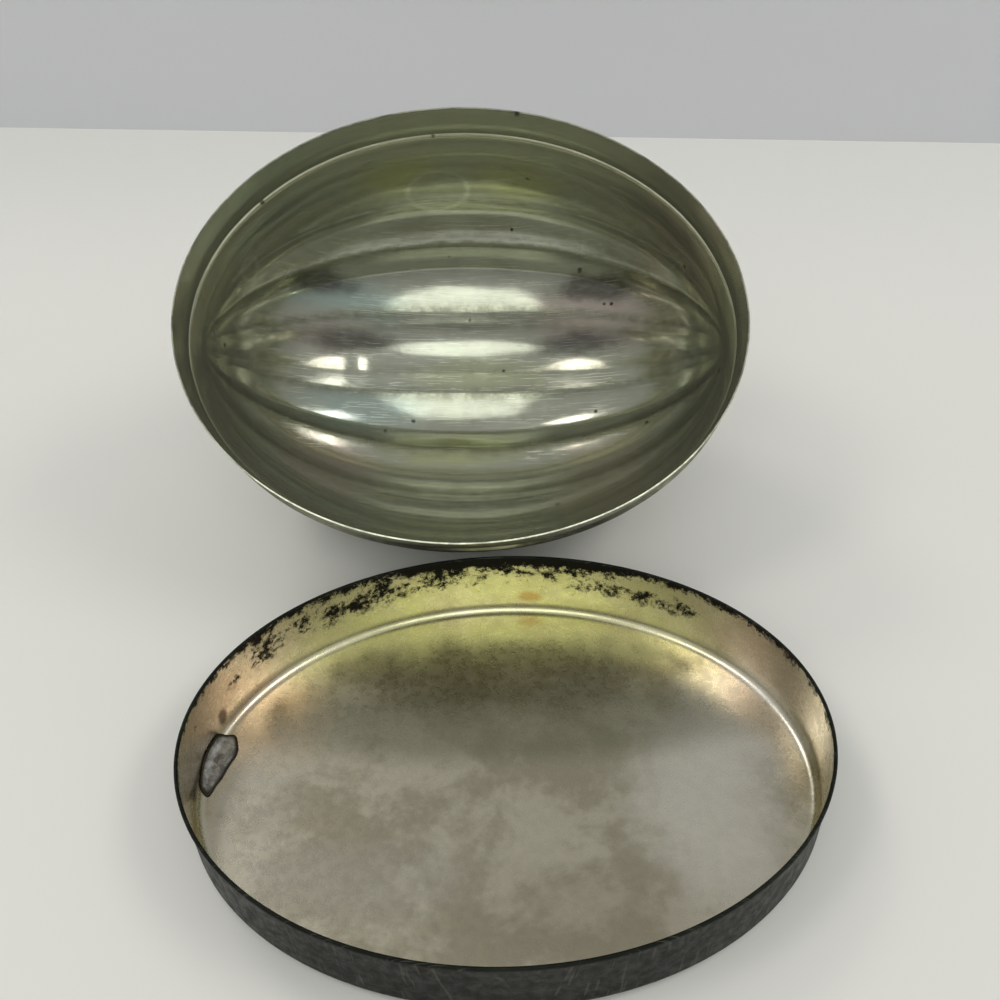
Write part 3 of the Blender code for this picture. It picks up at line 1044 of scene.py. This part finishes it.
@dataclass
class MouldShell:
    """The half-melon mould: collar, bead, plain shoulder and lobed bowl of one sheet."""

    half_length: float = 97.95 * MM
    half_width: float = 75.25 * MM
    sheet: float = 0.5 * MM
    bead_drop: float = 23.8 * MM
    bead_width: float = 4.4 * MM
    bead_height: float = 1.5 * MM
    shoulder_depth: float = 13.7 * MM
    shoulder_inset: float = 1.0 * MM
    bowl_depth: float = 62.2 * MM
    lobe_end_power: float = 0.65
    lobes: tuple[Lobe, ...] = (
        Lobe(63.0, 46.0, 1.0 * MM, roundness=0.5),
        Lobe(44.0, 22.0, 2.3 * MM, apex=0.40, roundness=0.25),
        Lobe(17.5, 2.0, 1.0 * MM, roundness=0.8),
        Lobe(-5.2, -24.0, 2.6 * MM, apex=0.62, roundness=0.25),
        Lobe(-26.0, -44.0, 1.2 * MM),
        Lobe(-46.5, -63.0, 0.8 * MM),
    )
    waves: tuple[Wave, ...] = (Wave(14.0, 30.0, 0.18 * MM), Wave(34.0, 125.0, 0.09 * MM))
    dents: tuple[Dent, ...] = (
        Dent(-46.2, 6.0, -93.0, 2.6, 7.0, -0.35),
        Dent(-72.0, 47.0, -66.0, 4.0, 4.0, 0.12),
        Dent(30.0, -14.0, -96.0, 7.0, 4.0, -0.12),
        Dent(-20.0, -19.0, -96.0, 6.0, 3.0, 0.12),
        Dent(12.0, 10.0, -101.0, 14.0, 3.0, -0.10),
        Dent(-2.0, 33.0, -95.0, 16.0, 2.6, -0.12),
        Dent(4.0, -13.0, -98.0, 15.0, 3.2, -0.08),
        Dent(-34.0, -29.0, -93.0, 8.0, 5.0, 0.22),
        Dent(-8.0, -30.0, -95.0, 9.0, 5.0, -0.22),
        Dent(16.0, -29.0, -95.0, 8.0, 5.0, 0.20),
        Dent(38.0, -29.0, -92.0, 7.0, 5.0, -0.20),
    )
    push_axis_share: float = 0.4
    deep_lobe: float = 2.0 * MM
    # Angles across the bowl, in degrees, of the crest lines that carry a painted highlight.
    crest_lines: tuple[float, ...] = (61.5, 45.4)
    crease_reach: float = 2.0
    crest_reach: float = 0.75
    crease_fade: float = 1.6
    long_steps: int = 144
    cross_steps: int = 480
    bead_steps: int = 14
    inside: TarnishedTin = field(default_factory=TarnishedTin)
    outside: MouldOutside = field(default_factory=MouldOutside)

    @property
    def pole_drop(self) -> float:
        """Return how far the two poles of the bowl are below the rim."""
        return self.bead_drop + self.shoulder_depth

    def swell(self, long_angle: float, cross_angle: float) -> float:
        """Return how far the lobes stand out at an angle along and an angle across."""
        fade = max(math.sin(long_angle), 0.0) ** self.lobe_end_power
        degrees = math.degrees(cross_angle)
        return fade * sum(lobe.height(degrees) for lobe in self.lobes)

    def worn_point(self, point: Vector) -> Vector:
        """Return a point of the bowl or collar moved by the sheet's waviness and its dents."""
        axis_point = Vector((point.x * self.push_axis_share, 0.0, -self.pole_drop))
        outward = (point - axis_point).normalized()
        return point + outward * sum(mark.push(point) for mark in (*self.waves, *self.dents))

    def bowl_point(self, unit: Vector) -> Vector:
        """Place a point of the bowl's outside.

        Args:
            unit: the point on the ball of radius 1 that the bowl is shaped from.

        Returns:
            The point in the mould's own frame.
        """
        long_angle = math.acos(max(-1.0, min(1.0, unit.x)))
        cross_angle = math.atan2(unit.y, -unit.z)
        normal = Vector((
            self.half_width * math.cos(long_angle), self.half_length * math.sin(long_angle)
        )).normalized()
        side = Vector((
            self.half_length * math.cos(long_angle), self.half_width * math.sin(long_angle)
        )) - self.shoulder_inset * normal
        swell = self.swell(long_angle, cross_angle)
        depth = self.bowl_depth * math.sin(long_angle) + swell
        return Vector((
            side.x,
            (side.y + swell) * math.sin(cross_angle),
            -self.pole_drop - depth * math.cos(cross_angle),
        ))

    def collar_section(self) -> list[tuple[float, float]]:
        """Walk from the line of the poles up over the bead to the rim.

        Returns:
            The (inset, height) points.
        """
        bend_inset, bend_depth, collar_middle = 0.4, 0.55, 0.45
        section = [
            (self.shoulder_inset, -self.pole_drop),
            (self.shoulder_inset * bend_inset, -self.bead_drop - self.shoulder_depth * bend_depth),
        ]
        for step in range(self.bead_steps + 1):
            share = 2.0 * step / self.bead_steps - 1.0
            swell = self.bead_height * (1.0 + math.cos(math.pi * share)) / 2.0
            section.append((-swell, -self.bead_drop + share * self.bead_width / 2.0))
        section.append((0.0, -self.bead_drop * collar_middle))
        section.append((0.0, 0.0))
        return section

    def build(self, effects: Effects) -> bpy.types.Object:
        """Model the shell from half a ball, and stand it behind the lid.

        Args:
            effects: the shared node groups.

        Returns:
            The finished piece.
        """
        deselect_all()
        bpy.ops.mesh.primitive_uv_sphere_add(
            segments=self.cross_steps, ring_count=self.long_steps, radius=1.0,
            rotation=(0.0, math.pi / 2.0, 0.0),
        )
        item = take_new_object("mould_shell_tin")
        bpy.ops.object.transform_apply(location=True, rotation=True, scale=True)
        enter_edit(item)
        bpy.ops.mesh.select_all(action="SELECT")
        bpy.ops.mesh.bisect(
            plane_co=(0.0, 0.0, 0.0), plane_no=(0.0, 0.0, 1.0), clear_outer=True, threshold=1e-5
        )
        bpy.ops.object.mode_set(mode="OBJECT")
        reshape(item, self.bowl_point)
        self.mark_creases(item)
        shape = enter_edit(item)
        select_border(shape)
        follow_section(self.half_length, self.half_width, self.collar_section())
        bpy.ops.object.mode_set(mode="OBJECT")
        reshape(item, self.worn_point)
        dress(item, self.outside.build(effects), self.inside.build(effects))
        wall = item.modifiers.new("sheet", "SOLIDIFY")
        wall.thickness = self.sheet
        wall.offset = -1.0
        wall.use_even_offset = True
        wall.material_offset = 1
        wall.material_offset_rim = 1
        apply_modifiers(item)
        standing = Matrix.LocRotScale(MOULD_PLACE, MOULD_TURN, None)
        reshape(item, lambda point: standing @ point)
        shade_by_angle(item, degrees=50.0)
        return item

    def mark_creases(self, item: bpy.types.Object) -> None:
        """Store how near each vertex is to a crease, where shade is painted, and to a crest line,
        where a highlight is painted.

        Args:
            item: the bowl, in its own frame and without its collar.
        """
        least_width = 1e-6
        for name in ("crease", "crest"):
            item.data.attributes.new(name, "FLOAT", "POINT")
        creases = item.data.attributes["crease"].data
        crests = item.data.attributes["crest"].data
        for vertex, crease, crest in zip(item.data.vertices, creases, crests):
            point = vertex.co
            share = max(-1.0, min(1.0, point.x / self.half_length))
            width = max(math.sqrt(1.0 - share * share), least_width)
            degrees = math.degrees(math.atan2(
                point.y / self.half_width, -(point.z + self.pole_drop) / self.bowl_depth
            ))
            depth = 0.0
            for lobe in self.lobes:
                nearest = min(abs(degrees - lobe.upper), abs(degrees - lobe.lower))
                strength = min(lobe.depth / self.deep_lobe, 1.0)
                depth = max(depth, strength * math.exp(-(nearest / self.crease_reach) ** 2))
            crease.value = depth * min(width * self.crease_fade, 1.0)
            nearest = min(abs(degrees - line) for line in self.crest_lines)
            crest.value = math.exp(-(nearest / self.crest_reach) ** 2) * width


@dataclass
class LidPan:
    """The shallow oval lid: floor, rounded corner, wall and folded rim of one sheet."""

    sheet: float = 0.5 * MM
    draft: float = 0.6 * MM
    corner_radius: float = 4.0 * MM
    hem_gap: float = 0.2 * MM
    hem_drop: float = 0.6 * MM
    oval_steps: int = 288
    corner_steps: int = 10
    hem_steps: int = 10
    rim_sheets: float = 2.2
    inside: LidInside = field(default_factory=LidInside)
    outside: LidOutside = field(default_factory=LidOutside)
    half_length: float = field(init=False)
    half_width: float = field(init=False)
    height: float = field(init=False)

    def __post_init__(self) -> None:
        """Take the lid's overall size from the frame."""
        low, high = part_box("lid_pan")
        self.half_length = (high.x - low.x) / 2.0
        self.half_width = (high.y - low.y) / 2.0
        self.height = high.z - low.z

    def section(self) -> list[tuple[float, float]]:
        """Walk from the floor's edge, over the rim, to the underside.

        Returns:
            The (inset, height) points.
        """
        hem_radius = self.sheet + self.hem_gap / 2.0
        wall_inset = self.sheet + self.hem_gap
        corner = (wall_inset + self.draft + self.corner_radius, self.corner_radius)
        hem = (hem_radius, self.height - hem_radius)
        lip_end = hem[1] - self.hem_drop
        steps = self.corner_steps
        points = arc(corner, self.corner_radius - self.sheet, 270.0, 180.0, steps)
        points += arc(hem, hem_radius, 0.0, 180.0, self.hem_steps)
        points += [(0.0, lip_end), (self.sheet, lip_end)]
        points += arc(hem, self.hem_gap / 2.0, 180.0, 0.0, self.hem_steps // 2)
        points += arc(corner, self.corner_radius, 180.0, 270.0, steps)
        return points

    def build(self, effects: Effects) -> bpy.types.Object:
        """Model the lid from an oval disc, extruded round its section.

        Args:
            effects: the shared node groups.

        Returns:
            The finished piece.
        """
        section = self.section()
        start_inset, start_height = section[0]
        deselect_all()
        bpy.ops.mesh.primitive_circle_add(
            vertices=self.oval_steps, radius=1.0, fill_type="NGON",
            location=(0.0, 0.0, start_height),
        )
        item = take_new_object("lid_pan_tin")
        bpy.ops.object.transform_apply(location=True, rotation=True, scale=True)
        enter_edit(item)
        bpy.ops.mesh.select_all(action="SELECT")
        bpy.ops.transform.resize(
            value=(self.half_length - start_inset, self.half_width - start_inset, 1.0),
            center_override=(0.0, 0.0, start_height),
        )
        bpy.ops.mesh.select_all(action="DESELECT")
        shape = bmesh.from_edit_mesh(item.data)
        select_border(shape)
        follow_section(self.half_length, self.half_width, section)
        bpy.ops.mesh.edge_face_add()
        face_outward()
        bpy.ops.object.mode_set(mode="OBJECT")
        shade_by_angle(item, degrees=40.0)
        dress(item, self.inside.build(effects), self.outside.build(effects))
        self.part_finishes(item)
        return item

    def part_finishes(self, item: bpy.types.Object) -> None:
        """Give the outside and the rim the darker finish, by place and normal."""
        rim_start = self.height - self.rim_sheets * self.sheet
        least_outward, least_downward = 0.05, 0.5
        for face in item.data.polygons:
            centre, normal = face.center, face.normal
            outward = (
                normal.x * centre.x / self.half_length + normal.y * centre.y / self.half_width
            )
            is_outside = outward > least_outward or normal.z < -least_downward
            face.material_index = int(is_outside or centre.z > rim_start)


@dataclass
class SolderPatch:
    """The pool of solder that mends the lid's left inner corner."""

    lid: LidPan
    length: float = 25.5 * MM
    width: float = 10.6 * MM
    thickness: float = 0.7 * MM
    angle: float = math.radians(171.8)
    centre: float = 0.5 * MM
    taper: float = 0.26
    gap: float = 0.3 * MM
    crown: float = 0.15 * MM
    crown_power: float = 0.7
    # How many ripples go round the outline, their share of its size, and where they start.
    ripples: tuple[tuple[int, float, float], ...] = (
        (2, 0.04, 0.4 + math.pi / 2.0), (3, 0.04, 1.1), (7, 0.03, 0.0)
    )
    segments: int = 96
    rings: int = 48
    finish: Solder = field(default_factory=Solder)

    def outline(self, turn: float) -> float:
        """Return the irregular outline as a share of the patch's half size."""
        return 1.0 + sum(
            share * math.sin(count * turn + start) for count, share, start in self.ripples
        )

    def on_lid(self, angle: float, travel: float, lift: float) -> Vector:
        """Place a point above the lid's inner face.

        Args:
            angle: where along the lid's oval, from its right end.
            travel: how far along the sheet from the floor's edge, the wall being positive.
            lift: how far above the sheet.

        Returns:
            The point in the object's frame.
        """
        lid = self.lid
        corner_inset = lid.sheet + lid.hem_gap + lid.draft + lid.corner_radius
        radius = lid.corner_radius - lid.sheet
        corner_travel = radius * math.pi / 2.0
        if travel < 0.0:
            inset, height = corner_inset - travel, lid.sheet + lift
        elif travel < corner_travel:
            turn = travel / radius
            inset = corner_inset - (radius - lift) * math.sin(turn)
            height = lid.corner_radius - (radius - lift) * math.cos(turn)
        else:
            inset = corner_inset - radius + lift
            height = lid.corner_radius + travel - corner_travel
        cosine, sine = math.cos(angle), math.sin(angle)
        normal = Vector((lid.half_width * cosine, lid.half_length * sine, 0.0)).normalized()
        rim = Vector((lid.half_length * cosine, lid.half_width * sine, height))
        return rim - inset * normal

    def wrap(self, unit: Vector) -> Vector:
        """Place a point of the patch, flattened and wrapped into the lid's corner.

        Args:
            unit: the point on the ball of radius 1 that the patch is shaped from.

        Returns:
            The point in the object's frame.
        """
        turn = math.atan2(unit.y, unit.x)
        reach = math.hypot(unit.x, unit.y) * self.outline(turn)
        along = reach * self.length / 2.0 * math.cos(turn)
        taper = 1.0 - self.taper * math.cos(turn)
        across = reach * taper * self.width / 2.0 * math.sin(turn)
        angle = self.angle + along / self.lid.half_width
        lift = self.gap
        if unit.z > 0.0:
            lift += (self.thickness + self.crown) * unit.z ** self.crown_power
        return self.on_lid(angle, self.centre - across, lift)

    def build(self, effects: Effects) -> bpy.types.Object:
        """Model the pool from a flattened ball laid into the lid's corner.

        Args:
            effects: the shared node groups.

        Returns:
            The finished piece.
        """
        deselect_all()
        bpy.ops.mesh.primitive_uv_sphere_add(
            segments=self.segments, ring_count=self.rings, radius=1.0
        )
        item = take_new_object("solder_patch_metal")
        marks = item.data.attributes.new("edge", "FLOAT", "POINT")
        for vertex, mark in zip(item.data.vertices, marks.data):
            mark.value = min(math.hypot(vertex.co.x, vertex.co.y), 1.0)
        reshape(item, self.wrap)
        enter_edit(item)
        face_outward()
        bpy.ops.object.mode_set(mode="OBJECT")
        shade_by_angle(item, degrees=60.0)
        dress(item, self.finish.build(effects))
        return item


@dataclass(frozen=True)
class Stage:
    """The pale table and the wall behind it."""

    table: PaintedSurface = PaintedSurface("table_paint", (0.90, 0.90, 0.86), 0.45)
    wall: PaintedSurface = PaintedSurface("wall_paint", (0.725, 0.735, 0.765), 0.6, True)
    table_size: float = 6.0
    wall_width: float = 5.0
    wall_height: float = 0.35
    wall_place: tuple[float, float] = (0.006, 0.4745)
    wall_turn: float = -0.108
    table_drop: float = 0.2 * MM

    def build(self) -> None:
        """Add the table top and the wall."""
        deselect_all()
        bpy.ops.mesh.primitive_plane_add(
            size=self.table_size, location=(0.0, 0.0, -self.table_drop)
        )
        table = take_new_object("table_top")
        dress(table, self.table.build())
        bpy.ops.mesh.primitive_plane_add(size=1.0)
        wall = take_new_object("wall")
        wall.dimensions = (self.wall_width, self.wall_height, 0.0)
        wall.rotation_euler = (math.pi / 2.0, 0.0, self.wall_turn)
        wall.location = (*self.wall_place, self.wall_height / 2.0 - self.table_drop)
        dress(wall, self.wall.build())


@dataclass(frozen=True)
class Lamp:
    """One soft oval lamp that faces the object."""

    name: str
    azimuth: float
    elevation: float
    distance: float
    size: tuple[float, float]
    radiance: float
    colour: Colour
    target: Place = (-0.01, 0.13, 0.04)

    def build(self) -> None:
        """Add the lamp; azimuth is in degrees from +Y toward +X."""
        data = bpy.data.lights.new(self.name, "AREA")
        data.shape = "ELLIPSE"
        data.size, data.size_y = self.size
        area = math.pi * self.size[0] * self.size[1] / 4.0
        data.energy = self.radiance * area * math.pi
        data.color = self.colour
        lamp = bpy.data.objects.new(self.name, data)
        turn, rise = math.radians(self.azimuth), math.radians(self.elevation)
        away = Vector((
            math.sin(turn) * math.cos(rise), math.cos(turn) * math.cos(rise), math.sin(rise)
        ))
        lamp.location = Vector(self.target) + away * self.distance
        lamp.rotation_mode = "QUATERNION"
        lamp.rotation_quaternion = away.to_track_quat("Z", "Y")
        bpy.context.scene.collection.objects.link(lamp)


LAMPS = (
    Lamp("front_lamp", 180.0, 43.5, 1.7, (1.30, 0.74), 1.75, (0.97, 1.0, 0.94)),
    Lamp("right_lamp", 100.0, 50.0, 1.8, (1.00, 0.46), 4.0, (1.0, 0.94, 0.92)),
    Lamp("left_lamp", -110.0, 58.0, 1.8, (0.55, 0.50), 4.6, (1.0, 0.93, 0.90)),
    Lamp("left_back_lamp", -48.0, 50.0, 1.8, (0.55, 0.55), 4.0, (1.0, 0.96, 0.90)),
)


@dataclass(frozen=True)
class Viewpoint:
    """The photograph's camera."""

    place: Place = (0.001848, -0.238459, 0.326217)
    yaw: float = 0.004
    pitch: float = 0.7155
    roll: float = -0.0328
    lens: float = 44.60
    sensor: float = 36.0

    def build(self) -> None:
        """Add the camera and make it the scene's own."""
        data = bpy.data.cameras.new("camera")
        data.lens = self.lens
        data.sensor_width = self.sensor
        camera = bpy.data.objects.new("camera", data)
        heading = Matrix.Rotation(self.yaw, 3, "Z")
        forward = heading @ Vector((0.0, math.cos(self.pitch), -math.sin(self.pitch)))
        upward = heading @ Vector((0.0, math.sin(self.pitch), math.cos(self.pitch)))
        right = heading @ Vector((1.0, 0.0, 0.0))
        turned_right = math.cos(self.roll) * right + math.sin(self.roll) * upward
        turned_up = math.cos(self.roll) * upward - math.sin(self.roll) * right
        axes = Matrix((turned_right, turned_up, -forward)).transposed()
        camera.matrix_world = Matrix.LocRotScale(Vector(self.place), axes.to_quaternion(), None)
        bpy.context.scene.collection.objects.link(camera)
        bpy.context.scene.camera = camera


@dataclass(frozen=True)
class Room:
    """Plain light from all round: its strength at the horizon, overhead and far away."""

    horizon: float = 0.33
    overhead: float = 0.57
    far_share: float = 0.62
    rise: Span = (0.0, 0.75)
    reach: Span = (-0.3, 0.5)
    colour: Colour = (0.98, 1.0, 0.98)

    def build(self) -> None:
        """Make this light the scene's world."""
        world = bpy.data.worlds.new("room")
        world.use_nodes = True
        graph = Graph(world.node_tree)
        background = world.node_tree.nodes["Background"]
        direction = graph.add("TexCoord").outputs["Generated"]
        up = graph.axis(direction, "Z")
        strength = graph.span(up, *self.rise, self.horizon, self.overhead)
        far = graph.span(graph.axis(direction, "Y"), *self.reach, 1.0, self.far_share)
        graph.feed(background.inputs["Strength"], graph.math("MULTIPLY", strength, far))
        graph.feed(background.inputs["Color"], self.colour)
        bpy.context.scene.world = world


def report(item: bpy.types.Object) -> None:
    """Log a finished piece with its size."""
    LOG.info("%s: %d faces, %s mm", item.name, len(item.data.polygons),
             [round(side / MM, 1) for side in item.dimensions])


def main() -> None:
    """Build the object's pieces, then the stage, lamps and camera."""
    logging.basicConfig(level=logging.INFO)
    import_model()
    effects = Effects.build()

    lid = LidPan()
    lid_item = lid.build(effects)
    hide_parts("lid_pan")
    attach(lid_item, Body.LID.value)
    report(lid_item)

    patch_item = SolderPatch(lid).build(effects)
    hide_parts("solder_patch")
    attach(patch_item, Body.LID.value)
    report(patch_item)

    mould_item = MouldShell().build(effects)
    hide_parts("mould_shell")
    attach(mould_item, Body.MOULD.value)
    report(mould_item)

    Stage().build()
    for lamp in LAMPS:
        lamp.build()
    Room().build()
    Viewpoint().build()
    bpy.context.scene.view_settings.view_transform = "Standard"


if __name__ == "__main__":
    main()
